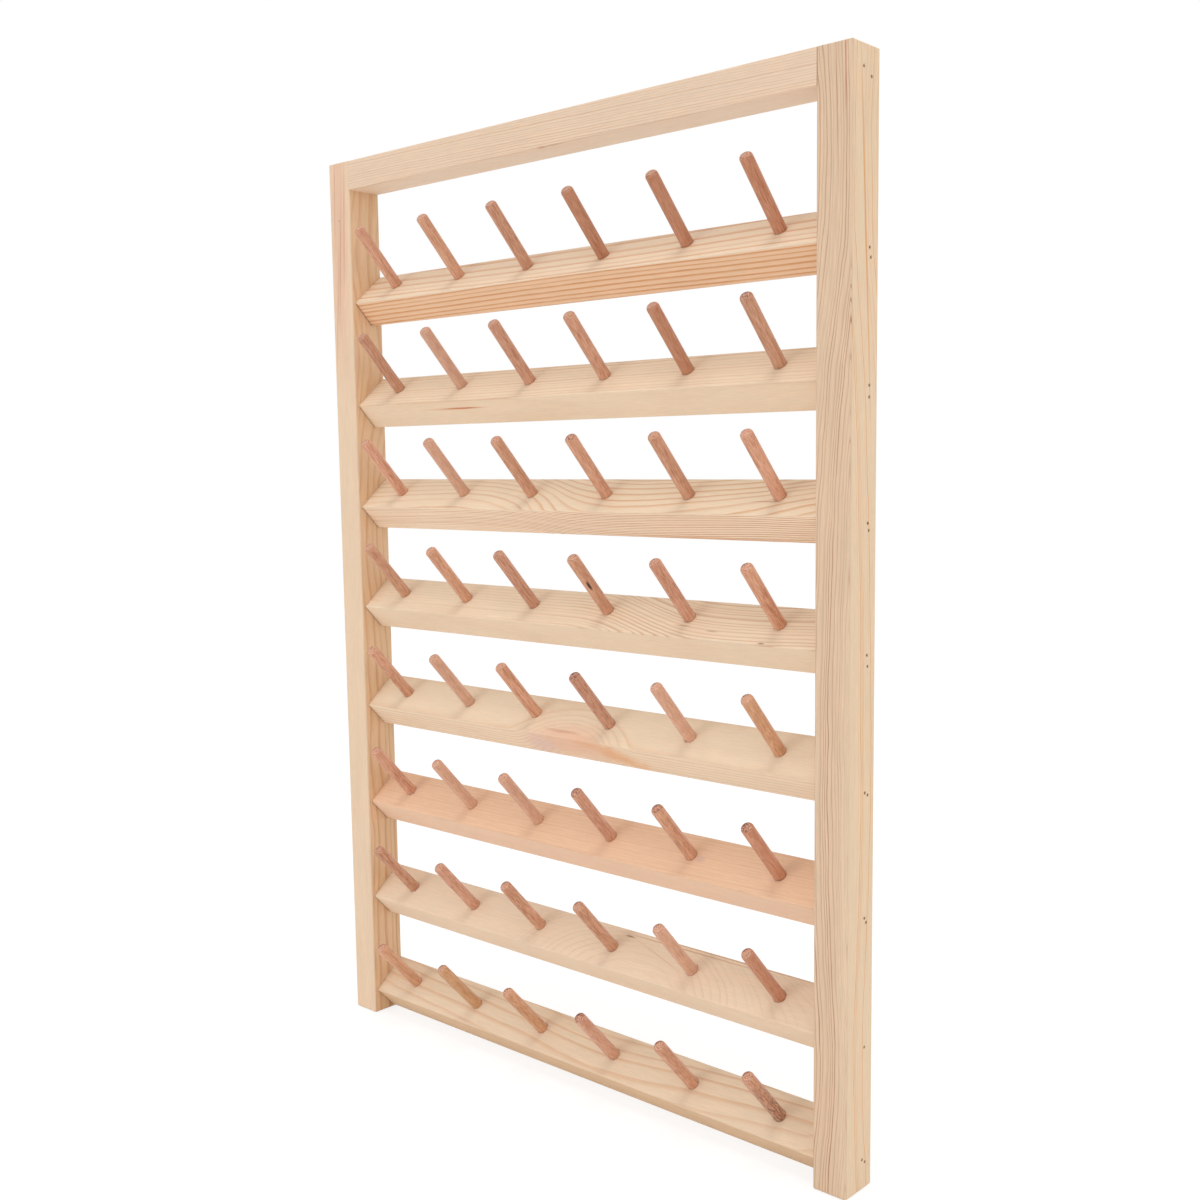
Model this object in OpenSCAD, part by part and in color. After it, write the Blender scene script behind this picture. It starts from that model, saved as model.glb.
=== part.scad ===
// Wall rack for spools of sewing thread: two stiles, a top rail and tilted slats
// that carry rows of dowel pegs. Seen from the front, X runs to the right, Y runs
// back to the wall and Z runs up. The origin is the middle of the top rail's back
// face, where the rack meets the wall.

/* [Frame] */
// Overall width across both stiles
frame_w = 400; // [320:1:520]
// Overall height, which is the length of a stile
frame_h = 560; // [460:1:700]
// Width of a stile, seen from the front
stile_w = 20; // [16:0.5:28]
// Depth of the stiles and of the top rail, front to back
stile_d = 23; // [18:0.5:32]
// Height of the top rail
rail_h = 18; // [16:0.5:40]

/* [Slats] */
// Number of slats
slat_rows = 8; // [1:1:8]
// Width of the sloped face that carries the pegs
slat_face = 28; // [23:0.5:34]
// Thickness of a slat, square to its sloped face
slat_t = 18.8; // [14:0.1:23]
// Tilt of the sloped face above level, in degrees
slat_tilt = 42; // [34:1:48]
// From the top of the frame down to the front edge of the top slat
top_drop = 88; // [70:1:110]
// From the feet of the stiles up to the front edge of the lowest slat
foot_rise = 16; // [15:1:60]

/* [Pegs] */
// Number of pegs in a slat
peg_cols = 6; // [1:1:6]
// Diameter of a peg
peg_d = 7; // [5:0.1:8.5]
// Length of a peg that stands out of its slat
peg_out = 43; // [30:1:50]
// Depth of the blind hole that a peg is glued into
peg_in = 9; // [6:0.5:9]
// Width of the shoulder where a peg is turned down to enter its hole
peg_shoulder = 0.25; // [0.2:0.05:0.6]
// Rounding around the tip of a peg
peg_tip_r = 2.2; // [0.4:0.1:2.4]
// Chamfer around the buried end of a peg
peg_end_chamfer = 0.6; // [0.2:0.1:1]
// Thickness of the glue between a peg's buried end and its hole
glue_gap = 0.05; // [0.01:0.01:0.2]

/* [Brads] */
// Diameter of a brad's shank
brad_d = 1.2; // [0.8:0.1:1.4]
// Diameter of a brad's head
brad_head_d = 1.6; // [1.4:0.1:1.8]
// Thickness of a brad's head
brad_head_t = 0.8; // [0.4:0.1:1.2]
// Length of a brad from head to point
brad_l = 30; // [28:1:38]
// How far the heads are sunk below the outer face of a stile
brad_sunk = 0.8; // [0.2:0.1:2]
// Clearance around a brad in the wood
brad_clear = 0.05; // [0.02:0.01:0.08]
// From the back of the frame to the middle of a pair of brads
brad_depth = 7; // [6:0.5:8]
// From a slat's underside up to the middle of its brads, top slat first
brad_rises = [7, 7.5, 8, 8, 7, 8, 7.5, 12.5]; // [6:0.5:13]
// How far apart in height the two brads of a slat end are, 0 for a single one
brad_gaps = [4.5, 5.5, 3.5, 5.5, 1.5, 2.5, 0, 2]; // [0:0.5:6]
// How much nearer the back the lower brad of a pair is
brad_leans = [1, 0, 1, 0.5, 2.5, 1.5, 0, 2.5]; // [0:0.5:3]
// Brads in each end of the top rail: from the back of the frame, from the rail's underside
rail_brads = [[7, 4], [13.5, 7.5]]; // [4:0.5:14]

/* [Edges] */
// Rounding of the long edges of every board
edge_r = 0.8; // [0.3:0.1:1.5]
// Rounding around the top ends of the stiles
top_r = 0.6; // [0.3:0.1:1.5]
// Rounding around the feet of the stiles
foot_r = 2; // [0.5:0.1:4]

/* [Hidden] */
pine = [0.90, 0.79, 0.63];
dowel_wood = [0.74, 0.52, 0.40];
steel = [0.55, 0.55, 0.56];
round_fn = 48;
edge_fn = 32;

// Clear width between the stiles, which is the length of the slats and of the rail
clear_w = frame_w - 2 * stile_w;
frame_top = rail_h / 2;
frame_foot = frame_top - frame_h;
row_pitch = (frame_h - top_drop - foot_rise) / max(1, slat_rows - 1);
peg_pitch = clear_w / peg_cols;
peg_hole_d = peg_d - 2 * peg_shoulder;

// The sloped face ends on the back of the frame, so its front edge lies this far forward
slat_reach = slat_face * cos(slat_tilt);
// The slat's back is ripped plumb, which leaves this much of its underside
underside_w = slat_face - slat_t * tan(slat_tilt);

function slat_name(row) = str("slat_", row);
function peg_name(row, col) = str("peg_", row, "_", col);
function slat_z(row) = frame_top - top_drop - (row - 1) * row_pitch;
function peg_x(col) = (col - (peg_cols + 1) / 2) * peg_pitch;

// Height of a slat's underside over its front edge, at the depth of the brads
underside_z = (slat_reach - brad_depth) * tan(slat_tilt) - slat_t / cos(slat_tilt);

// Places of the brads of one slat end, as [y, z]
function slat_brads(row) =
    let (gap = brad_gaps[row - 1], lean = brad_leans[row - 1])
    let (middle_z = slat_z(row) + underside_z + brad_rises[row - 1])
    [for (side = gap > 0 ? [-1, 1] : [0])
        [-brad_depth - side * lean / 2, middle_z + side * gap / 2]];

// Places of every brad in one stile, as [y, z]
brad_spots = concat(
    [for (spot = rail_brads) [-spot[0], spot[1] - rail_h / 2]],
    [for (row = [1 : slat_rows]) each slat_brads(row)]
);

function unit(v) = v / norm(v);

// Directions from corner i of an outline to the corners before and after it
function before(outline, i) =
    unit(outline[(i + len(outline) - 1) % len(outline)] - outline[i]);
function after(outline, i) = unit(outline[(i + 1) % len(outline)] - outline[i]);

// Half the angle inside corner i
function half_angle(outline, i) = acos(before(outline, i) * after(outline, i)) / 2;

// The two points where the rounding of corner i meets its edges
function tangent_points(outline, i, r) =
    let (run = r / tan(half_angle(outline, i)))
    [outline[i] + before(outline, i) * run, outline[i] + after(outline, i) * run];

// The centre of the rounding of corner i
function round_centre(outline, i, r) =
    outline[i]
    + unit(before(outline, i) + after(outline, i)) * r / sin(half_angle(outline, i));

// A convex outline with a radius for each of its corners
module rounded_outline(outline, radii) {
    polygon([for (i = [0 : len(outline) - 1]) each tangent_points(outline, i, radii[i])]);
    for (i = [0 : len(outline) - 1])
        translate(round_centre(outline, i, radii[i]))
            circle(radii[i], $fn = edge_fn);
}

// A rectangle from its lowest to its highest corner, rounded low_r below and high_r above
module rounded_rectangle(low, high, low_r, high_r) {
    rounded_outline(
        [low, [high[0], low[1]], high, [low[0], high[1]]],
        [low_r, low_r, high_r, high_r]
    );
}

// A bar of a given length along X, from an outline drawn in Y and Z
module bar_along_x(length) {
    translate([-length / 2, 0, 0])
        rotate([90, 0, 90])
            linear_extrude(length)
                children();
}

// The cutter for one brad's hole, driven along +X from the outer face of the left stile
module brad_hole() {
    hole_d = brad_d + 2 * brad_clear;
    head_hole_d = brad_head_d + 2 * brad_clear;
    rotate([0, 90, 0]) {
        cylinder(d = hole_d, h = brad_sunk + brad_l + brad_clear, $fn = round_fn);
        translate([0, 0, -1])
            cylinder(d = head_hole_d, h = 1 + brad_sunk + brad_head_t + brad_clear, $fn = round_fn);
    }
}

// One brad, driven along +X from the outer face of the left stile, with a ground point
module brad() {
    point_l = brad_d;
    shank_l = brad_l - point_l;
    rotate([0, 90, 0])
        translate([0, 0, brad_sunk])
            rotate_extrude($fn = round_fn)
                polygon([
                    [0, 0],
                    [brad_head_d / 2, 0],
                    [brad_head_d / 2, brad_head_t],
                    [brad_d / 2, brad_head_t],
                    [brad_d / 2, shank_l],
                    [0, brad_l]
                ]);
}

// Puts what it is given at every brad of both stiles
module at_brads() {
    for (side = [0, 1])
        mirror([side, 0, 0])
            for (spot = brad_spots)
                translate([-frame_w / 2, spot[0], spot[1]])
                    children();
}

// A stile is a plain bar, eased along its edges and rounded more at the foot
module stile() {
    difference() {
        intersection() {
            translate([0, 0, frame_foot])
                linear_extrude(frame_h)
                    rounded_rectangle([-stile_w / 2, -stile_d], [stile_w / 2, 0], edge_r, edge_r);
            bar_along_x(stile_w)
                rounded_rectangle([-stile_d, frame_foot], [0, frame_top], foot_r, top_r);
            rotate([90, 0, 0])
                linear_extrude(stile_d)
                    rounded_rectangle(
                        [-stile_w / 2, frame_foot], [stile_w / 2, frame_top], foot_r, top_r
                    );
        }
        for (spot = brad_spots)
            translate([-stile_w / 2, spot[0], spot[1]])
                brad_hole();
    }
}

module left_stile() {
    color(pine)
        translate([-(frame_w - stile_w) / 2, 0, 0])
            stile();
}

module right_stile() {
    color(pine)
        mirror([1, 0, 0])
            translate([-(frame_w - stile_w) / 2, 0, 0])
                stile();
}

// The rail is butted between the stiles, flush with their tops, fronts and backs
module top_rail() {
    color(pine)
        difference() {
            bar_along_x(clear_w)
                rounded_rectangle([-stile_d, -rail_h / 2], [0, rail_h / 2], edge_r, edge_r);
            at_brads()
                brad_hole();
        }
}

// Turns a slat's own axes into the rack's: X along the slat, Y up its sloped face
// and Z square out of that face, from the middle of its front edge
module on_slat(row) {
    translate([0, -slat_reach, slat_z(row)])
        rotate([slat_tilt, 0, 0])
            children();
}

// Puts what it is given where a peg enters the sloped face, halfway up it
module at_peg(col) {
    translate([peg_x(col), slat_face / 2, 0])
        children();
}

// A slat is a bar tilted between the stiles, with its back ripped plumb and flush
// with the back of the frame, and a row of blind holes square to its sloped face
module slat(row) {
    color(pine)
        difference() {
            on_slat(row)
                difference() {
                    bar_along_x(clear_w)
                        rounded_outline(
                            [[0, 0], [0, -slat_t], [underside_w, -slat_t], [slat_face, 0]],
                            [for (corner = [1 : 4]) edge_r]
                        );
                    for (col = [1 : peg_cols])
                        at_peg(col)
                            translate([0, 0, -peg_in])
                                cylinder(d = peg_hole_d, h = peg_in + 1, $fn = round_fn);
                }
            at_brads()
                brad_hole();
        }
}

// Half the outline of a peg. Its shoulder sits on the sloped face, and its buried end
// stands on the hole's floor, slimmer than the hole by the thickness of the glue
module peg_outline() {
    r = peg_d / 2;
    buried_r = peg_hole_d / 2 - glue_gap;
    square([r, peg_out - peg_tip_r]);
    square([r - peg_tip_r, peg_out]);
    translate([r - peg_tip_r, peg_out - peg_tip_r])
        intersection() {
            circle(peg_tip_r, $fn = edge_fn);
            square(peg_tip_r);
        }
    polygon([
        [0, -peg_in],
        [buried_r - peg_end_chamfer, -peg_in],
        [buried_r, peg_end_chamfer - peg_in],
        [buried_r, 0],
        [0, 0]
    ]);
}

module peg(row, col) {
    color(dowel_wood)
        on_slat(row)
            at_peg(col)
                rotate_extrude($fn = round_fn)
                    peg_outline();
}

// The brads that hold the rail and the slats, driven through the stiles
module brads() {
    color(steel)
        at_brads()
            brad();
}

left_stile();
right_stile();
top_rail();
for (row = [1 : slat_rows])
    slat(row);
for (row = [1 : slat_rows], col = [1 : peg_cols])
    peg(row, col);
brads();
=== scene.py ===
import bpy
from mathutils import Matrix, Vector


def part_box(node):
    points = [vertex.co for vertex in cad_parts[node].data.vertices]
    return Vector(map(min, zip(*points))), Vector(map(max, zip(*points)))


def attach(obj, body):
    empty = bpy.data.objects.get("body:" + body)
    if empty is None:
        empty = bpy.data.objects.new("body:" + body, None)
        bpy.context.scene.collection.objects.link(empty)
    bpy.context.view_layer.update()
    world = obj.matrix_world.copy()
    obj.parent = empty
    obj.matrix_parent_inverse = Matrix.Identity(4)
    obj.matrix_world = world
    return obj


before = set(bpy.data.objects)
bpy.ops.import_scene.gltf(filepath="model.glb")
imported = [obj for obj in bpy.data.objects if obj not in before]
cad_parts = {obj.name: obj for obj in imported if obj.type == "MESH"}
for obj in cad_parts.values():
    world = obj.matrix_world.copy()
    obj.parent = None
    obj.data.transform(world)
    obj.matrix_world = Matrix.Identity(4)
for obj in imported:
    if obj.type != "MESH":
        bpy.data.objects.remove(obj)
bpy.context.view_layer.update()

import math
import bpy
import numpy as np
from mathutils import Euler, Matrix, Vector

# ---- Stiles ----
# Two upright bars of planed pine, 20 by 23 mm, sawn square at both ends and eased by hand
# along every edge. The right one shows close straight grain in front and broad bands on
# its side; the left one is paler in front, with flame figure on its inner side.


def tint(red, green, blue):
    """A colour as seen on a screen, turned into the linear values that a shader takes."""
    parts = [channel / 255 for channel in (red, green, blue)]
    return [p / 12.92 if p <= 0.04045 else ((p + 0.055) / 1.055) ** 2.4 for p in parts]


class Wire:
    """A node's output, on which arithmetic adds the Math nodes that do it."""

    def __init__(self, finish, socket):
        self.finish = finish
        self.socket = socket

    def __add__(self, other):
        return self.finish.maths("ADD", self, other)

    def __sub__(self, other):
        return self.finish.maths("SUBTRACT", self, other)

    def __mul__(self, other):
        return self.finish.maths("MULTIPLY", self, other)

    def __truediv__(self, other):
        return self.finish.maths("DIVIDE", self, other)

    def __rsub__(self, other):
        return self.finish.maths("SUBTRACT", other, self)

    def __rtruediv__(self, other):
        return self.finish.maths("DIVIDE", other, self)

    def __pow__(self, other):
        return self.finish.maths("POWER", self, other)

    __radd__ = __add__
    __rmul__ = __mul__


class Finish:
    """The nodes of a material or of the room, each of them added by the node method."""

    def __init__(self, owner):
        owner.use_nodes = True
        self.owner = owner
        self.tree = owner.node_tree

    def node(self, kind, settings=(), sockets=()):
        """Adds a node: its settings first, then what its sockets are given."""
        made = self.tree.nodes.new(kind)
        for name, value in dict(settings).items():
            if name == "stops":
                self.set_stops(made.color_ramp, value)
            else:
                setattr(made, name, value)
        for name, value in dict(sockets).items():
            self.give(made.inputs[name], value)
        return made

    def set_stops(self, ramp, stops):
        """Makes a ramp a soft curve near its stops, each a place from 0 to 1 and a height."""
        ramp.interpolation = "B_SPLINE"
        ramp.elements.remove(ramp.elements[1])
        for count, (place, height) in enumerate(stops):
            stop = ramp.elements.new(place) if count else ramp.elements[0]
            stop.position = place
            stop.color = (height, height, height, 1)

    def give(self, socket, value):
        """Links a wire to a socket, or sets the socket to a number, vector or colour."""
        if isinstance(value, Wire):
            self.tree.links.new(value.socket, socket)
        elif socket.type == "RGBA" and len(value) == 3:
            socket.default_value = (*value, 1)
        else:
            socket.default_value = value

    def feed(self, **values):
        """Gives values to the shader's sockets, which are named with _ for a space."""
        shader = self.tree.nodes["Principled BSDF"]
        for name, value in values.items():
            self.give(shader.inputs[name.replace("_", " ")], value)

    def maths(self, operation, *values):
        settings = {"operation": operation}
        made = self.node("ShaderNodeMath", settings, dict(enumerate(values)))
        return Wire(self, made.outputs[0])

    def vector(self, operation, *values, out=0, **sockets):
        """Vector Math on up to three vectors; out=1 takes the number, as for a length."""
        given = dict(enumerate(values)) | sockets
        made = self.node("ShaderNodeVectorMath", {"operation": operation}, given)
        return Wire(self, made.outputs[out])

    def smooth(self, start, end, value):
        """0 where the value is at start, 1 where it is at end, with a soft change between."""
        made = self.node(
            "ShaderNodeMapRange", {"interpolation_type": "SMOOTHSTEP"},
            {"Value": value, "From Min": start, "From Max": end},
        )
        return Wire(self, made.outputs[0])

    def curve(self, value, heights):
        """A soft curve near the heights that are given for some of the values."""
        start, run = min(heights), max(heights) - min(heights)
        floor, rise = min(heights.values()), max(heights.values()) - min(heights.values())
        stops = [((at - start) / run, (heights[at] - floor) / rise) for at in sorted(heights)]
        made = self.node("ShaderNodeValToRGB", {"stops": stops}, {0: (value - start) / run})
        return Wire(self, made.outputs[0]) * rise + floor

    def blend(self, amount, under, over):
        """Colour over laid on colour under, by amount."""
        made = self.node("ShaderNodeMix", {"data_type": "RGBA"}, {0: amount, 6: under, 7: over})
        return Wire(self, made.outputs[2])

    def object_place(self, origin, turn, unit=0.001):
        """Object coordinates from an origin, turned to a board's own axes, in units."""
        place = self.node("ShaderNodeTexCoord").outputs["Object"]
        made = self.node(
            "ShaderNodeMapping", {"vector_type": "TEXTURE"},
            {"Vector": Wire(self, place), "Location": origin,
             "Rotation": turn, "Scale": (unit, unit, unit)},
        )
        return Wire(self, made.outputs[0])

    def distance(self, across, up):
        """How far a point lies from an axis, given how far it lies from it both ways."""
        return self.vector("LENGTH", self.join(0.0, across, up), out=1)

    def facing(self, direction):
        """How far the surface faces a direction of the rack: 1 straight at it, -1 away."""
        normal = Wire(self, self.node("ShaderNodeTexCoord").outputs["Normal"])
        return self.vector("DOT_PRODUCT", normal, tuple(direction), out=1)

    def split(self, vector):
        made = self.node("ShaderNodeSeparateXYZ", sockets={0: vector})
        return [Wire(self, output) for output in made.outputs]

    def join(self, x, y, z):
        made = self.node("ShaderNodeCombineXYZ", sockets={0: x, 1: y, 2: z})
        return Wire(self, made.outputs[0])

    def noise(self, place, size, detail=2, rough=0.5, seed=0, colour=False):
        """Cloudy noise with patches about as large as size, from 0 to 1."""
        given = self.vector("DIVIDE", place, size)
        moved = self.vector("ADD", given, (seed, seed * 1.7, seed * 0.6))
        made = self.node(
            "ShaderNodeTexNoise", {},
            {"Vector": moved, "Scale": 1.0, "Detail": detail, "Roughness": rough},
        )
        return Wire(self, made.outputs[1 if colour else 0])

    def chance(self, number):
        """A random number from 0 to 1 that belongs to a whole number."""
        made = self.node(
            "ShaderNodeTexWhiteNoise", {"noise_dimensions": "1D"}, {"W": number}
        )
        return Wire(self, made.outputs["Value"])

    def relief(self, height, depth):
        """A bump of that depth in metres, for the Normal socket."""
        made = self.node(
            "ShaderNodeBump", {}, {"Strength": 0.7, "Distance": depth, "Height": height}
        )
        return Wire(self, made.outputs[0])


class Board(Finish):
    """Pine: growth rings about a pith that lies outside the bar, measured in mm.

    A point of the board is (s, a, c): s along the grain, a across its main face and c out
    of that face, so c is below 0 in the wood. Its ring number is its distance to the pith,
    plus the trunk's bend there (course) and slow noise, over the ring pitch. Each ring
    darkens to a sharp outer edge. The show curve gives the lines' strength along the board.
    The faces other than the main one can have tones of their own, side_pale and side_late,
    partly the wood's own colour and partly painted light and shade, set for how each face is
    lit; there sides is the lines' strength. The rings' strengths vary by vary, and
    sparse leaves fewer strong ones on those faces. Small waves move the lines by wave.
    """

    PALE = tint(236, 213, 185)
    LATE = tint(208, 158, 114)
    WARM = tint(232, 196, 162)

    # How large the noises' patches are along the grain, across it and into the wood
    SWIRL = (150, 40, 40)
    RIPPLE = (30, 7, 7)
    CLOUD = (60, 12, 12)
    FIBRE = (8, 0.3, 0.3)
    DASH = (16, 0.9, 0.9)
    CANAL = (3.2, 0.18, 0.18)

    # Where the saw's hub was, across and out, and how deep the planed surface's relief is
    SAW_HUB = (60, -90)
    RELIEF = 0.00006

    def __init__(self, name, origin, turn, seed, pitch, pith, course=None, wander=0.8,
                 uneven=0.7, thin=1.8, contrast=0.5, pale=PALE, late=LATE, side_late=None,
                 side_pale=None, blush=0.25, knots=(), marks=(), show=None, sides=1.0,
                 vary=0.55, wave=None, sparse=0.0):
        super().__init__(bpy.data.materials.new(name))
        self.seed = seed
        self.place = self.object_place(origin, turn)
        self.s, self.a, self.c = self.split(self.place)

        # Rings
        swirl = self.split(self.noise(self.place, self.SWIRL, 1, seed=seed, colour=True))
        ripple = self.noise(self.place, self.RIPPLE, 1, seed=seed + 5)
        radius = self.distance(self.a - pith[0], self.c - pith[1])
        radius = radius + (swirl[0] - 0.5) * (wander * 4) + (ripple - 0.5) * (wave or wander)
        if course:
            radius = radius + self.curve(self.s, course)
        for knot in knots:
            radius = radius + self.near(knot["at"], knot["size"]) * knot["lift"]
        phase = radius / pitch
        spread = self.node(
            "ShaderNodeTexNoise", {"noise_dimensions": "1D"},
            {"W": phase / 2.3 + seed, "Scale": 1.0, "Detail": 0.0},
        )
        phase = phase + Wire(self, spread.outputs[0]) * uneven
        number = self.maths("FLOOR", phase)
        through = phase - number
        band = self.smooth(0.3, 0.88, through) ** thin * (1 - self.smooth(0.91, 1.0, through))
        beyond = self.smooth(-0.5, -1.5, self.c)
        strength = 1 - self.chance(number + seed) * vary
        if sparse:
            strength = strength ** (1 + beyond * sparse)
        strength = strength * (0.6 + swirl[1] * 0.8) * contrast
        if show:
            strength = strength * self.curve(self.s, show)
        if sides != 1.0:
            strength = strength * (1 + beyond * (sides - 1))

        # Fibres, resin canals and cloudy tone
        self.fibre = self.noise(self.place, self.FIBRE, 3, 0.6, seed=seed + 11)
        dash = self.noise(self.place, self.DASH, 2, 0.6, seed=seed + 31)
        canal = self.noise(self.place, self.CANAL, 1, seed=seed + 17)
        self.canal = self.smooth(0.68, 0.78, canal)
        cloud = self.split(self.noise(self.place, self.CLOUD, 2, seed=seed + 23, colour=True))
        self.lines = band * strength * (0.7 + dash * 0.6)
        # The faces other than the main one take side_pale and side_late: the wood's colour there,
        # with painted light and shade for how those faces are lit
        self.colour = self.blend(
            self.lines,
            self.blend(beyond, pale, side_pale or pale),
            self.blend(beyond, late, side_late or late),
        )
        warm = self.smooth(0.45, 0.75, cloud[0]) * blush + self.smooth(0.42, 0.75, dash) * 0.22
        self.colour = self.blend(warm, self.colour, self.WARM)
        for mark in marks:
            self.stain(**mark)

        # On the sawn ends the fibres drink light, and the saw has left faint arcs
        ends = self.maths("ABSOLUTE", self.facing(Euler(turn).to_matrix().col[0]))
        self.sawn = self.smooth(0.75, 0.95, ends)
        arc = self.distance(self.a - self.SAW_HUB[0], self.c - self.SAW_HUB[1])
        self.teeth = self.maths("SINE", (arc + (ripple - 0.5) * 2) * 5.2) * 0.5 + 0.5
        tone = 1.01 + (self.fibre - 0.5) * 0.26 + (dash - 0.5) * 0.18 + (cloud[1] - 0.5) * 0.10
        tone = tone - self.canal * 0.07
        self.tone = tone * (1 - self.sawn * (0.12 + self.teeth * 0.05))

    def near(self, at, size, ragged=0.0, lean=0.0, slant=0.0, dive=0.0):
        """1 at a place in the board, falling to 0 a size away, with a ragged rim.

        The patch leans along the grain by that many mm for each mm into the wood. For each
        mm along the grain it slants across the face, or dives out of it, by that many.
        """
        along = self.s - at[0]
        place = self.join(self.s + self.c * lean, self.a - along * slant, self.c - along * dive)
        away = self.vector("DIVIDE", self.vector("SUBTRACT", place, at), size)
        reach = self.vector("LENGTH", away, out=1)
        if ragged:
            patch = [max(part * 0.5, 0.3) for part in size]
            rough = self.noise(self.place, patch, 4, 0.6, seed=self.seed)
            reach = reach + (rough - 0.5) * ragged
        return self.smooth(1.0, 0.2, reach)

    def stain(self, at, size, colour, depth=0.8, ragged=0.6, **bent):
        """Lays a coloured patch with a ragged rim on the wood."""
        cover = self.near(at, size, ragged, **bent) * depth
        self.colour = self.blend(cover, self.colour, tint(*colour))

    def finish(self):
        """Feeds the shader: colour by tone, planed sheen, and relief of ring and fibre."""
        height = (self.fibre * 0.5 + self.lines * 0.35 - self.canal * 0.5
                  - self.sawn * (0.3 + self.teeth * 0.5))
        self.feed(
            Base_Color=self.vector("SCALE", self.colour, Scale=self.tone),
            Roughness=0.6 + (self.fibre - 0.5) * 0.2 - self.lines * 0.1 + self.sawn * 0.15,
            Normal=self.relief(height, self.RELIEF),
            Specular_IOR_Level=0.3,
        )
        return self.owner


def dress(node, material):
    """Gives a CAD node its finish."""
    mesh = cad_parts[node].data
    mesh.materials.clear()
    mesh.materials.append(material)


# Places and meshes are in metres. Boards and pegs are painted in mm on axes of their own
STILE_W = 0.020
HALF_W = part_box("right_stile")[1][0]
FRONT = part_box("right_stile")[0][1]
UPRIGHT = tuple(Matrix(((0, -1, 0), (0, 0, -1), (1, 0, 0))).to_euler())

right_stile = Board(
    "pine_right_stile", (HALF_W - STILE_W / 2, FRONT, 0), UPRIGHT, seed=3.1,
    pitch=1.15, pith=(46, -60), wander=0.5, wave=1.5, uneven=1.2, contrast=1.0, thin=3.0,
    sides=1.5, vary=0.85, sparse=2.0,
    pale=tint(219, 191, 162), late=tint(172, 120, 94),
    side_pale=tint(232, 206, 174), side_late=tint(224, 160, 100),
    course={-551: 8.1, -498: 5.0, -463: 5.0, -428: 6.9, -376: 8.4, -306: 9.0, -236: 7.3,
            -183: 5.3, -138: 2.9, -113: 0.8, -92: -1.2, -75: -2.2, -43: -2.9, -12: -2.7,
            9: -1.3},
    marks=[dict(at=(-420, -8, -2), size=(260, 6, 7), colour=(230, 204, 172), depth=0.5),
           dict(at=(-15, -1.5, 0), size=(55, 0.45, 1), colour=(160, 92, 72), depth=0.5,
                slant=0.03),
           dict(at=(-4, -6.3, 0), size=(26, 0.45, 1), colour=(190, 88, 76), depth=0.7),
           dict(at=(-75, -10, -12), size=(125, 2, 1.0), colour=(220, 152, 90), ragged=0.3,
                dive=0.06)],
)
dress("right_stile", right_stile.finish())

left_stile = Board(
    "pine_left_stile", (STILE_W / 2 - HALF_W, FRONT, 0), UPRIGHT, seed=8.4,
    pitch=4.2, pith=(14, -52), wander=3.0, contrast=0.1, sides=8.0, thin=2.4,
    pale=tint(229, 202, 173), side_pale=tint(226, 190, 151), side_late=tint(194, 129, 78),
    course={-551: 8, -500: 3, -440: 7, -380: 2, -300: 8, -230: -3, -160: 6, -110: 14, -60: 2,
            -20: 7, 9: 10},
    show={-551: 0.8, -400: 0.75, -300: 0.55, -200: 0.5, 9: 0.55},
    marks=[dict(at=(-40, 1, 0), size=(120, 12, 8), colour=(224, 180, 154), depth=0.6),
           dict(at=(-30, -4, 0), size=(58, 0.9, 3), colour=(206, 146, 118), depth=0.7,
                slant=-0.05),
           dict(at=(-52, 1, 0), size=(64, 1.0, 3), colour=(206, 148, 120), depth=0.7,
                slant=-0.07),
           dict(at=(-80, 5, 0), size=(60, 0.9, 3), colour=(208, 152, 122), depth=0.6,
                slant=-0.08),
           dict(at=(-12, 5, 0), size=(40, 0.9, 3), colour=(206, 150, 122), depth=0.6,
                slant=-0.04),
           dict(at=(-27, 1, 0), size=(0.9, 0.8, 2), colour=(150, 96, 74))],
)
dress("left_stile", left_stile.finish())

# ---- Top rail ----
# A bar of the same pine as the stiles, butted between them and flush with their tops,
# quarter-sawn, so its front shows many fine straight lines.

ALONG_RAIL = tuple(Matrix(((1, 0, 0), (0, 0, -1), (0, 1, 0))).to_euler())
top_rail = Board(
    "pine_top_rail", (0, FRONT, 0), ALONG_RAIL, seed=5.7,
    pitch=1.35, pith=(-62, -12), course={-180: 0, -60: 1.2, 60: 3.6, 180: 5.2},
    wander=0.5, wave=1.0, uneven=0.6, contrast=0.75, thin=2.6, pale=tint(228, 204, 180),
    sides=0.1, side_pale=tint(235, 210, 184),
    marks=[dict(at=(-5, -9.4, -1), size=(5, 2, 2), colour=(206, 146, 120), depth=0.9),
           dict(at=(4, -9.4, -1), size=(14, 1.4, 2), colour=(196, 160, 132), depth=0.6)],
)
dress("top_rail", top_rail.finish())

# ---- Slats ----
# Eight pine bars, tilted 42 degrees between the stiles and drilled square to the slope for
# six pegs each. They come from different planks, so each has its own grain and tone.

TILT = math.radians(42)

# In mm: the sloped face, a slat's end as measured from its middle, and the pegs
FACE_W = 28
FACE_MIDDLE = FACE_W / 2
SLAT_END = 180
COLUMNS = 6
COLUMN_PITCH = 60
PEG_R = 3.5

# In metres: how far the slats reach out from the wall, how far apart their rows lie, and
# how high the top one's front edge is
SLAT_REACH = FACE_W / 1000 * math.cos(TILT)
ROW_PITCH = 0.456 / 7
TOP_SLAT = 0.009 - 0.088

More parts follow.
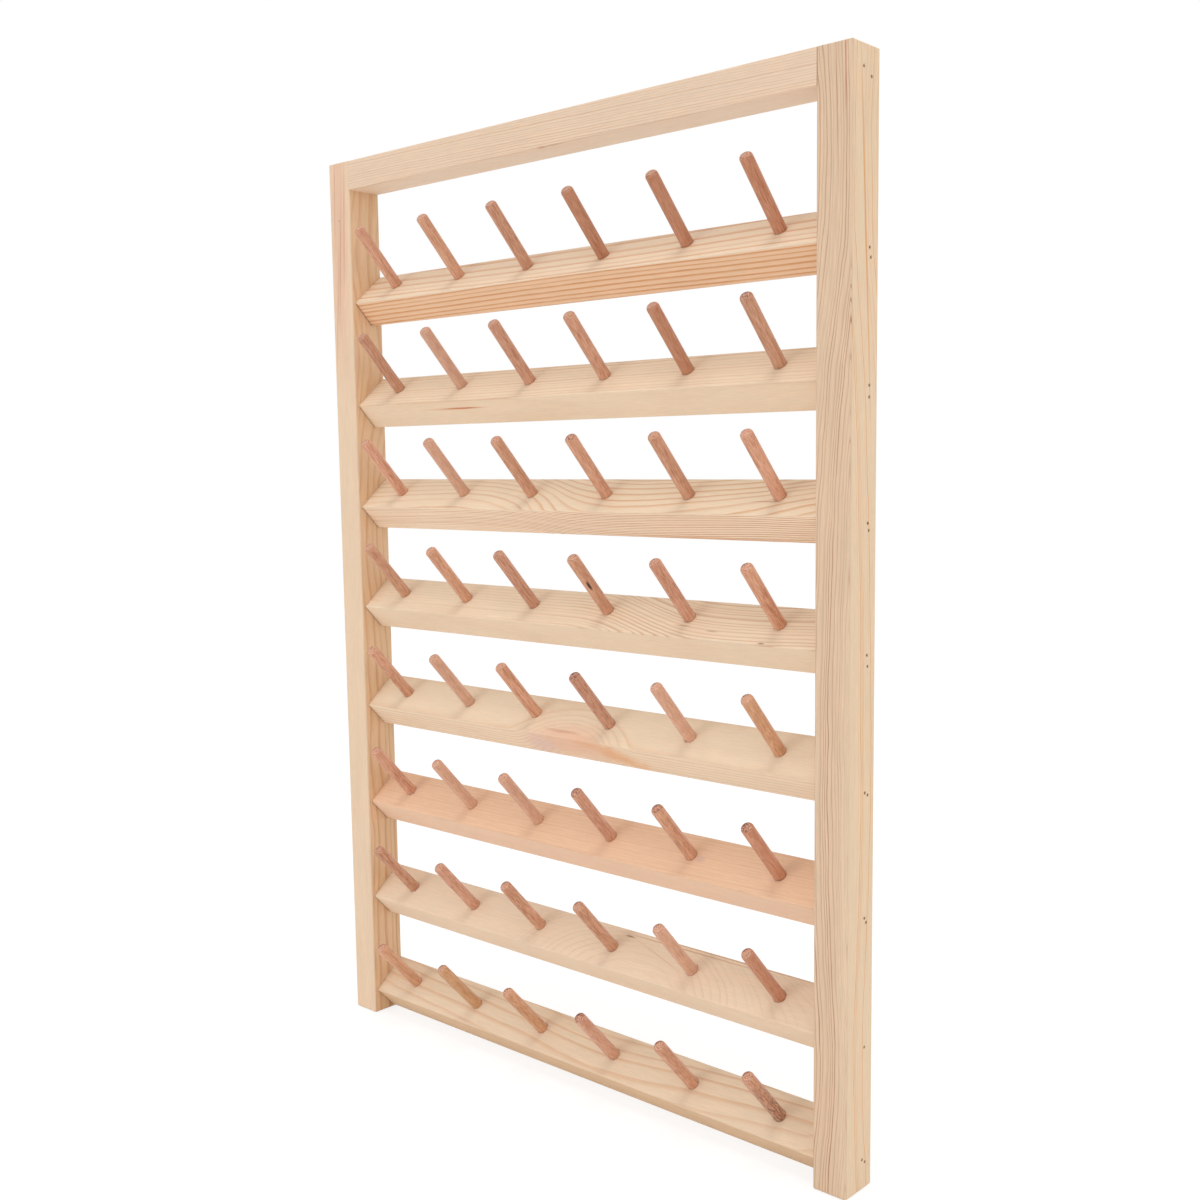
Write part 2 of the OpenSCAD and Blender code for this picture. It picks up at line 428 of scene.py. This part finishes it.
slat_figures = {
    1: dict(seed=1.3, pitch=2.33, pith=(48, -71), wander=0.35, uneven=0.4, contrast=0.95,
            thin=2.6, sides=1.9, side_pale=tint(236, 196, 160),
            course={-180: 2.2, -90: 0.8, -30: 0.2, 60: 0.6, 180: 1.6},
            pale=tint(236, 212, 185), late=tint(212, 152, 104)),
    2: dict(seed=14.2, pitch=2.4, pith=(62, -12), wander=0.5, contrast=0.6, sides=0.2,
            course={-180: 0, 0: 1.4, 180: 3.4},
            marks=[dict(at=(-90, 0, -6.2), size=(44, 3, 1.3), colour=(224, 172, 132), depth=0.6),
                   dict(at=(-83, 0, -6.2), size=(22, 3, 0.8), colour=(196, 120, 76), depth=1.0)]),
    3: dict(seed=21.9, pitch=1.25, pith=(-11, -82), wander=0.3, contrast=0.8, uneven=0.5,
            thin=3.2, sides=2.6, side_pale=tint(248, 226, 199), late=tint(208, 150, 100),
            side_late=tint(186, 122, 80), show={-180: 0.6, -45: 0.6, 0: 0.8, 60: 1, 180: 1},
            course={-180: -7.4, -100: -8.8, -66: -8.3, -40: -6.8, -23: -5.2, 0: -1.6,
                    25: -0.4, 50: 0, 90: -0.7, 140: -2.4, 180: -5.6},
            marks=[dict(at=(145, 10, 0), size=(14, 0.5, 1), colour=(176, 128, 92)),
                   dict(at=(100, 0, -18), size=(90, 4, 2.4), colour=(206, 148, 104), depth=0.5)]),
    4: dict(seed=33.3, pitch=2.3, pith=(72, -10), wander=0.5, uneven=1.3, contrast=0.85,
            sides=0.0,
            course={-180: 12, 0: 14, 25: 13, 50: 6, 75: -2, 95: -6, 120: -7, 150: -6, 180: -3},
            show={-180: 0.15, -20: 0.25, 30: 1, 100: 1, 180: 0.8},
            late=tint(198, 146, 106),
            marks=[dict(at=(145, 1, 0), size=(3.2, 0.7, 1), colour=(120, 92, 70)),
                   dict(at=(110, 6, 0), size=(6, 0.7, 1), colour=(182, 154, 130)),
                   dict(at=(88, 8, 0), size=(8, 0.6, 1), colour=(192, 154, 126))]),
    5: dict(seed=47.6, pitch=2.6, pith=(14, 70), wander=0.5, contrast=0.35, sides=1.5,
            side_pale=tint(240, 219, 192),
            knots=[dict(at=(6, -4, -6), size=(54, 30, 30), lift=15)],
            marks=[dict(at=(4, -2, -4), size=(44, 17, 26), colour=(232, 188, 160), depth=0.8,
                        ragged=1.1),
                   dict(at=(-22, -2, -10), size=(18, 9, 14), colour=(224, 194, 182), depth=0.7),
                   dict(at=(24, -2, -9), size=(26, 7, 17), colour=(231, 176, 130), lean=1.5,
                        ragged=1.2),
                   dict(at=(-2, 4.4, 0), size=(18, 1.7, 3), colour=(204, 150, 124), depth=0.55),
                   dict(at=(-27, 22, 0), size=(4, 1.6, 1), colour=(240, 198, 148))]),
    6: dict(seed=52.5, pitch=1.7, pith=(70, -20), wander=0.8, uneven=1.5, contrast=0.3, sides=0.2,
            course={-180: 0, 40: 2, 180: 4.6}, blush=0.0,
            pale=tint(235, 194, 161), late=tint(204, 146, 110), side_pale=tint(237, 202, 174),
            marks=[dict(at=(97, 13, 0), size=(5, 3, 1), colour=(212, 176, 166), depth=0.6)]),
    7: dict(seed=64.8, pitch=0.8, pith=(-8, -116), wander=0.35, contrast=0.27, uneven=0.8,
            thin=3.0, sides=0.0, side_pale=tint(236, 213, 186),
            course={-180: 30, -120: 28, -60: 14, -20: 6.5, 20: 1.6, 55: 0, 90: 1.6, 130: 7.3,
                    180: 14},
            show={-180: 0, -60: 0, -25: 0.8, 15: 0.8, 42: 0.25, 80: 0.25, 98: 0.8, 130: 0.7,
                  180: 0.3},
            pale=tint(233, 208, 181), late=tint(196, 142, 102),
            marks=[dict(at=(38, 23, 0), size=(5, 0.8, 1), colour=(142, 104, 78)),
                   dict(at=(62, 17, 0), size=(30, 0.6, 1), colour=(206, 158, 122), depth=0.4,
                        slant=-0.28),
                   dict(at=(84, 24.4, 0), size=(70, 0.6, 1), colour=(198, 146, 106), depth=0.7),
                   dict(at=(110, 26.3, 0), size=(90, 0.6, 1), colour=(198, 146, 106),
                        depth=0.7)]),
    8: dict(seed=71.1, pitch=2.8, pith=(-24, -84), wander=0.5, contrast=0.52, thin=4.2,
            sides=0.5,
            course={-178: -4.8, -146: -4, -89: -3, -37: -1.6, 0: -0.2, 34: 0, 84: -1.8,
                    170: -5.2, 180: -5.5},
            pale=tint(231, 206, 178), late=tint(204, 142, 90), side_pale=tint(220, 187, 150)),
}
for row, figure in slat_figures.items():
    height = TOP_SLAT - (row - 1) * ROW_PITCH
    slat = Board(f"pine_slat_{row}", (0, -SLAT_REACH, height), (TILT, 0, 0), **figure)

    # The plumb back is ripped on a saw, which leaves upright scratches
    rip = slat.smooth(0.85, 0.97, slat.facing((0, 1, 0)))
    scratch = slat.noise(slat.place, (0.5, 9, 9), 2, 0.6, seed=row)
    slat.tone = slat.tone * (1 + rip * (scratch - 0.6) * 0.16)
    slat.canal = slat.canal + rip * scratch

    # Painted shade darkens the wood near the joints with the stiles, most on the faces other than
    # the peg face, and in a thin ring around each peg
    to_end = SLAT_END - slat.maths("ABSOLUTE", slat.s)
    end = slat.smooth(1.8, 0.0, to_end)
    gap_shade = slat.smooth(1.1, 0.3, to_end) * slat.smooth(-0.5, -1.5, slat.c)
    from_peg = (slat.maths("FRACT", slat.s / COLUMN_PITCH) - 0.5) * COLUMN_PITCH
    from_axis = slat.distance(from_peg, slat.a - FACE_MIDDLE)
    socket = slat.smooth(PEG_R + 0.6, PEG_R, from_axis) * slat.smooth(-0.6, -0.1, slat.c)
    slat.tone = slat.tone * (1 - end * 0.22 - gap_shade * 0.4) * (1 - socket * 0.3)
    dress(f"slat_{row}", slat.finish())

# ---- Spool pegs ----
# Forty-eight 7 mm dowels of a reddish hardwood, cut to length, tumbled round at the tip and
# glued into blind holes square to the sloped faces. Each has its own tone and grain.

PEG_OUT = 43.0


class Dowel(Finish):
    """Hardwood dowel. Every peg's row, column and height come from Object coordinates.

    Up the slope, the pegs' axes lie a row pitch times the sine of the tilt apart, and
    across the rack a column pitch apart, so dividing and rounding gives a peg's number.
    """

    def __init__(self, name):
        super().__init__(bpy.data.materials.new(name))
        foot = (0, -SLAT_REACH, TOP_SLAT)
        x, up, out = self.split(self.object_place(foot, (TILT, 0, 0)))
        row_run = ROW_PITCH * 1000 * math.sin(TILT)
        row_rise = ROW_PITCH * 1000 * math.cos(TILT)
        row = self.maths("ROUND", (FACE_MIDDLE - up) / row_run)
        column = self.maths("ROUND", x / COLUMN_PITCH + 0.5)
        self.height = out + row * row_rise
        self.x = x - (column - 0.5) * COLUMN_PITCH
        self.up = up + row * row_run - FACE_MIDDLE
        self.number = row * COLUMNS + column + COLUMNS / 2
        self.luck = [self.chance(self.number + shift) for shift in (0.13, 100.7, 200.3, 300.9)]

    def is_any(self, *pegs):
        """1 on the pegs that are named by row and column, 0 on the others."""
        found = 0.0
        for row, column in pegs:
            number = (row - 1) * COLUMNS + column
            found = found + self.maths("COMPARE", self.number, number, 0.5)
        return found

    def spot(self, peg, at, size):
        """1 at a place on one peg, across, up the slope and out, falling to 0 a size away."""
        place = self.join(self.x, self.up, self.height)
        away = self.vector("DIVIDE", self.vector("SUBTRACT", place, at), size)
        return self.smooth(1.0, 0.4, self.vector("LENGTH", away, out=1)) * self.is_any(peg)


dowel = Dowel("turned_hardwood")
angle = dowel.luck[0] * math.tau
turned_x = dowel.x * dowel.maths("COSINE", angle) + dowel.up * dowel.maths("SINE", angle)
turned_y = dowel.up * dowel.maths("COSINE", angle) - dowel.x * dowel.maths("SINE", angle)
stick = dowel.join(turned_x, turned_y + dowel.number * 31, dowel.height)
streak = dowel.noise(stick, (0.4, 0.6, 5.5), 3, 0.65)
pores = dowel.smooth(0.58, 0.72, dowel.noise(stick, (0.2, 0.45, 2.4), 2, 0.5, seed=4))
drift = dowel.noise(stick, (4, 4, 26), 2)
arcs = dowel.maths("FRACT", turned_x / 1.6 + drift * 1.4 + dowel.luck[1] * 3)
arcs = dowel.smooth(0.2, 0.85, arcs) * (1 - dowel.smooth(0.86, 1.0, arcs))
grain = arcs * dowel.luck[2] * 0.25 + (streak - 0.5) * 2.5 + (drift - 0.5) * 0.8 + 0.31

# Most pegs lie between rosy and tawny. A few that are named here are of another tone
rosy = dowel.blend(grain, tint(226, 172, 143), tint(170, 101, 67))
tawny = dowel.blend(grain, tint(221, 168, 135), tint(163, 101, 67))
colour = dowel.blend(dowel.luck[3], rosy, tawny)
honey = dowel.blend(grain, tint(214, 166, 118), tint(176, 120, 74))
honeyed = dowel.is_any((8, 2)) * 0.8 + dowel.is_any((5, 6), (8, 1), (8, 3)) * 0.4
colour = dowel.blend(honeyed, colour, honey)
sallow = dowel.is_any((2, 2), (3, 2), (5, 2), (5, 5), (6, 2), (6, 3), (7, 5))
colour = dowel.blend(sallow * 0.4, colour, tint(214, 174, 148))
ruddy = dowel.is_any((1, 4), (1, 5), (1, 6), (2, 5), (6, 6), (7, 6))
colour = dowel.blend(ruddy * 0.4, colour, tint(182, 108, 72))

# The domed tip shows end grain, a pinkish face with arcs. Painted shade darkens its rim on
# the side up the slope and to the left, and dark chips fleck the tip and rim
level = dowel.facing((0, -math.sin(TILT), math.cos(TILT)))
above = dowel.smooth(PEG_OUT - 3.0, PEG_OUT - 2.4, dowel.height)
tip = dowel.smooth(0.3, 0.8, level) * above
rim = dowel.smooth(0.6, 1.9, dowel.up * 0.6 - dowel.x * 0.8) * above
middle = (dowel.luck[1] * 2 - 1, dowel.luck[2] * 2 - 1)
whorl = dowel.distance(dowel.x - middle[0], dowel.up - middle[1])
whorl = dowel.smooth(-0.1, 0.8, dowel.maths("SINE", whorl * 5 + drift * 7))
chips = dowel.noise(stick, (0.7, 0.7, 0.7), 2, 0.6, seed=9)
whorl = whorl * (0.25 + dowel.luck[2] * 0.5) * dowel.smooth(0.3, 0.5, chips)
end_grain = dowel.blend(whorl, tint(224, 174, 148), tint(140, 78, 56))
colour = dowel.blend(tip * 0.65, colour, end_grain)
dark_tipped = dowel.is_any((5, 4), (6, 4), (6, 5), (6, 6), (2, 6), (3, 4), (8, 4))
# Painted shade on the rim, stronger on the dark-tipped pegs, plus dark chips on tip and rim
rim_shade_and_chips = rim * (0.5 + dowel.luck[0] * 0.3 + dark_tipped * 0.2)
chipped = dowel.smooth(0.5, 0.62, chips + dark_tipped * 0.05) * (tip + rim)
rim_shade_and_chips = rim_shade_and_chips + chipped * (0.4 + dark_tipped * 0.4)
colour = dowel.blend(rim_shade_and_chips, colour, tint(118, 58, 44))

# Named pegs stand out: paler or darker wood, a foot darker still, a slot left by a splinter
# and painted near-black as shade in its hollow, a smudge, a fleck, and one of coarse flecked
# wood. Every peg's foot is darkened by painted shade where it meets the slat
tone = 1.0 - pores * 0.09 + (dowel.luck[1] - 0.5) * 0.10
dark_pegs = dowel.is_any(
    (1, 3), (1, 4), (1, 5), (1, 6), (2, 1), (2, 2), (2, 3), (2, 4), (2, 5), (2, 6), (3, 5),
    (4, 3), (5, 4), (6, 4), (7, 1),
)
pale_pegs = dowel.is_any((4, 6), (5, 3), (5, 5), (6, 2), (6, 5), (7, 5), (8, 1), (8, 3))
tone = tone - dark_pegs * 0.09 + pale_pegs * 0.08
# Painted shade at the foot of every peg, deeper on two of them
foot = dowel.smooth(1.2, 0.0, dowel.height)
tone = tone - foot * (0.16 + dowel.is_any((6, 6), (7, 6)) * 0.3)
# The slots are painted near-black as shade in their hollows, and dented by the relief below
slot = dowel.spot((4, 4), (2.2, -2.6, 23), (0.9, 1.0, 4.8))
slot = slot + dowel.spot((5, 5), (-0.8, -3.2, 0.9), (0.8, 0.9, 0.9))
smudge = dowel.spot((6, 5), (1.0, -3.0, 15), (1.6, 1.6, 5))
fleck = dowel.spot((7, 2), (0.4, -3.3, 25), (0.5, 0.6, 2.6))
coarse = dowel.smooth(0.46, 0.56, dowel.noise(stick, (0.35, 0.6, 3.2), 2, 0.6, seed=2))
coarse = coarse * dowel.is_any((8, 6)) * dowel.smooth(48, 10, dowel.height)
tone = tone * (1 - slot * 0.93) * (1 - smudge * 0.22)
tone = tone * (1 - fleck * 0.45) * (1 - coarse * 0.6)
dowel.feed(
    Base_Color=dowel.vector("SCALE", colour, Scale=tone),
    Roughness=0.5 + (streak - 0.5) * 0.25 + tip * 0.15,
    Normal=dowel.relief(streak - pores * 0.6 - slot * 4 + chips * (tip + rim) * 2, 0.00006),
    Specular_IOR_Level=0.4,
    Sheen_Weight=0.15,
    Sheen_Roughness=0.4,
)
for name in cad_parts:
    if name.startswith("peg_"):
        dress(name, dowel.owner)

# ---- Glue beads ----
# White wood glue that came out around a few of the pegs when they were pushed home, and
# dried on the slope as a low uneven bead.

GLUED_PEGS = ((5, 5), (6, 1), (7, 1), (7, 5), (7, 6), (8, 1), (8, 2), (8, 3))
BEAD_SWELL = 0.00033
BEAD_SUNK = 0.00005
TURNS = 48
SIDES = 8


def bead_points(row, column):
    """A bead around a peg's foot, as a closed grid of points.

    The turn goes round the peg and the side goes round the bead. A cut through the bead is
    an ellipse centred on the slope, nine tenths as high as it is wide. Its size varies
    round the peg as one plus three sines, and it starts a little inside the peg.
    """
    luck = np.random.default_rng(row * 10 + column)
    turn = np.linspace(0, math.tau, TURNS, endpoint=False)[:, None]
    side = np.linspace(0, math.tau, SIDES, endpoint=False)[None, :]
    waves = sum(np.sin(turn * k + luck.uniform(0, math.tau)) * 0.22 for k in (1, 2, 3))
    swell = BEAD_SWELL * (1 + waves)
    away = PEG_R / 1000 - BEAD_SUNK + swell * (1 + np.cos(side))
    out = swell * 0.9 * np.sin(side)
    x = (column - (COLUMNS + 1) / 2) * COLUMN_PITCH / 1000 + away * np.cos(turn)
    up = FACE_MIDDLE / 1000 + away * np.sin(turn)
    y = up * math.cos(TILT) - out * math.sin(TILT) - SLAT_REACH
    z = up * math.sin(TILT) + out * math.cos(TILT) + TOP_SLAT - (row - 1) * ROW_PITCH
    return np.stack(np.broadcast_arrays(x, y, z), axis=-1).reshape(-1, 3)


def bead_faces():
    """Quads of a grid that closes on itself both ways, facing outwards."""
    at = np.arange(TURNS * SIDES).reshape(TURNS, SIDES)
    on, over = np.roll(at, -1, axis=0), np.roll(at, -1, axis=1)
    return np.stack([at, on, np.roll(on, -1, axis=1), over], axis=-1).reshape(-1, 4)


points = [bead_points(row, column) for row, column in GLUED_PEGS]
quads = [bead_faces() + count * TURNS * SIDES for count in range(len(points))]
bead_mesh = bpy.data.meshes.new("glue_beads")
bead_mesh.from_pydata(np.concatenate(points).tolist(), [], np.concatenate(quads).tolist())
bead_mesh.shade_smooth()
beads = bpy.data.objects.new("glue_beads", bead_mesh)
bpy.context.scene.collection.objects.link(beads)
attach(beads, "root")

glue = Finish(bpy.data.materials.new("dried_glue"))
place = glue.object_place((0, 0, 0), (0, 0, 0))
lumps = glue.noise(place, (0.9, 0.9, 0.9), 2)
yellowed = glue.smooth(0.4, 0.65, lumps)
glue.feed(
    Base_Color=glue.blend(yellowed, tint(232, 206, 184), tint(206, 158, 134)),
    Roughness=0.3 + lumps * 0.2,
    Normal=glue.relief(lumps, 0.0001),
)
bead_mesh.materials.append(glue.owner)

# ---- Brads ----
# Thin headed pins of bright steel wire, driven through the stiles into the end grain of the
# slats and the rail, and set just below the surface.

steel = Finish(bpy.data.materials.new("steel_wire"))
place = steel.object_place((0, 0, 0), (0, 0, 0))
scuff = steel.noise(place, (0.4, 0.4, 0.4), 3, 0.6)
tarnish = steel.smooth(0.45, 0.75, steel.noise(place, (2, 2, 2), 2))
steel.feed(
    Base_Color=steel.blend(tarnish * 0.6, tint(112, 104, 98), tint(58, 48, 40)),
    Roughness=0.32 + scuff * 0.3,
    Normal=steel.relief(scuff, 0.00003),
    Metallic=1.0,
)
dress("brads", steel.owner)

# ---- Floor, light and camera ----
# The rack stands on white paper under a wide overhead softbox, with others in front to its
# left and right, in a white room. That gives each peg its two faint shadows.

REACH = 6.0
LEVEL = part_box("right_stile")[0][2]
floor_mesh = bpy.data.meshes.new("floor")
corners = [(x * REACH, y * REACH, LEVEL) for x, y in ((-1, -1), (1, -1), (1, 1), (-1, 1))]
floor_mesh.from_pydata(corners, [], [(0, 1, 2, 3)])
floor = bpy.data.objects.new("floor", floor_mesh)
bpy.context.scene.collection.objects.link(floor)


def looked_at(finish):
    """1 for what the camera sees, straight on, mirrored or through glass, and 0 for light."""
    path = finish.node("ShaderNodeLightPath").outputs
    rays = ("Is Camera Ray", "Is Glossy Ray", "Is Transmission Ray")
    straight, mirrored, through = (Wire(finish, path[name]) for name in rays)
    return finish.maths("MAXIMUM", finish.maths("MAXIMUM", straight, mirrored), through)


# To the camera the paper is mostly glowing white, so it meets the room without a line, and
# the rest is plain paper that keeps the rack's shadow. From below it isn't there
GLOW = 1.14
GLOW_SHARE = 0.68
paper = Finish(bpy.data.materials.new("white_paper"))
place = paper.object_place((0, 0, 0), (0, 0, 0))
speckle = paper.noise(place, (0.6, 0.6, 0.6), 3, 0.6)
paper.feed(
    Base_Color=(0.93, 0.93, 0.93), Roughness=0.85 + speckle * 0.1, Specular_IOR_Level=0.0
)


def mixed(amount, under, over):
    """The node's shader over laid on the node's shader under, by amount."""
    sockets = {0: amount, 1: Wire(paper, under.outputs[0]), 2: Wire(paper, over.outputs[0])}
    return paper.node("ShaderNodeMixShader", {}, sockets)


plain = paper.tree.nodes["Principled BSDF"]
glow = paper.node("ShaderNodeEmission", {}, {"Color": (1, 1, 1), "Strength": GLOW})
sheet = mixed(looked_at(paper) * GLOW_SHARE, plain, glow)
below = Wire(paper, paper.node("ShaderNodeNewGeometry").outputs["Backfacing"])
sheet = mixed(below, sheet, paper.node("ShaderNodeBsdfTransparent"))
paper.give(paper.tree.nodes["Material Output"].inputs["Surface"], Wire(paper, sheet.outputs[0]))
floor_mesh.materials.append(paper.owner)

ROOM_LIGHT = 0.76
room = Finish(bpy.data.worlds.new("white_room"))
bpy.context.scene.world = room.owner
background = room.tree.nodes["Background"].inputs
room.give(background["Color"], (1, 1, 1))
room.give(background["Strength"], ROOM_LIGHT + looked_at(room) * (1 - ROOM_LIGHT))


RACK_MIDDLE = Vector((0, 0, -0.27))


def softbox(name, place, size, watts):
    """A square lamp at a place, turned to the middle of the rack."""
    lamp = bpy.data.lights.new(name, "AREA")
    lamp.shape, lamp.size, lamp.energy = "SQUARE", size, watts
    box = bpy.data.objects.new(name, lamp)
    box.location = place
    aim = RACK_MIDDLE - Vector(place)
    box.rotation_euler = aim.to_track_quat("-Z", "Y").to_euler()
    box.visible_camera = False
    bpy.context.scene.collection.objects.link(box)


softbox("softbox_above", (0.15, -0.3, 1.5), 0.7, 7.6)
softbox("softbox_left", (-0.65, -1.5, -0.45), 0.7, 5.6)
softbox("softbox_right", (1.7, -0.5, 0.2), 0.9, 4.0)

# The camera stands in front and to the right, half-way up the rack
EYE = (0.564633, -0.572864, -0.184646)
YAW_PITCH_ROLL = (-40.457, -6.361, -0.407)
sight = bpy.data.cameras.new("camera")
camera = bpy.data.objects.new("camera", sight)
bpy.context.scene.collection.objects.link(camera)
bpy.context.scene.camera = camera
yaw, pitch, roll = (math.radians(angle) for angle in YAW_PITCH_ROLL)
forward = Vector((
    math.sin(yaw) * math.cos(pitch), math.cos(yaw) * math.cos(pitch), math.sin(pitch)
))
right = Vector((math.cos(yaw), -math.sin(yaw), 0))
up = right.cross(forward)
across = right * math.cos(roll) + up * math.sin(roll)
above = up * math.cos(roll) - right * math.sin(roll)
camera.matrix_world = (
    Matrix.Translation(EYE)
    @ Matrix((across, above, -forward)).transposed().to_4x4()
)
sight.sensor_width = 36
sight.lens = 41.50
sight.shift_x = -0.0689
sight.shift_y = 0.0173
sight.clip_start = 0.01

bpy.context.scene.view_settings.view_transform = "Standard"
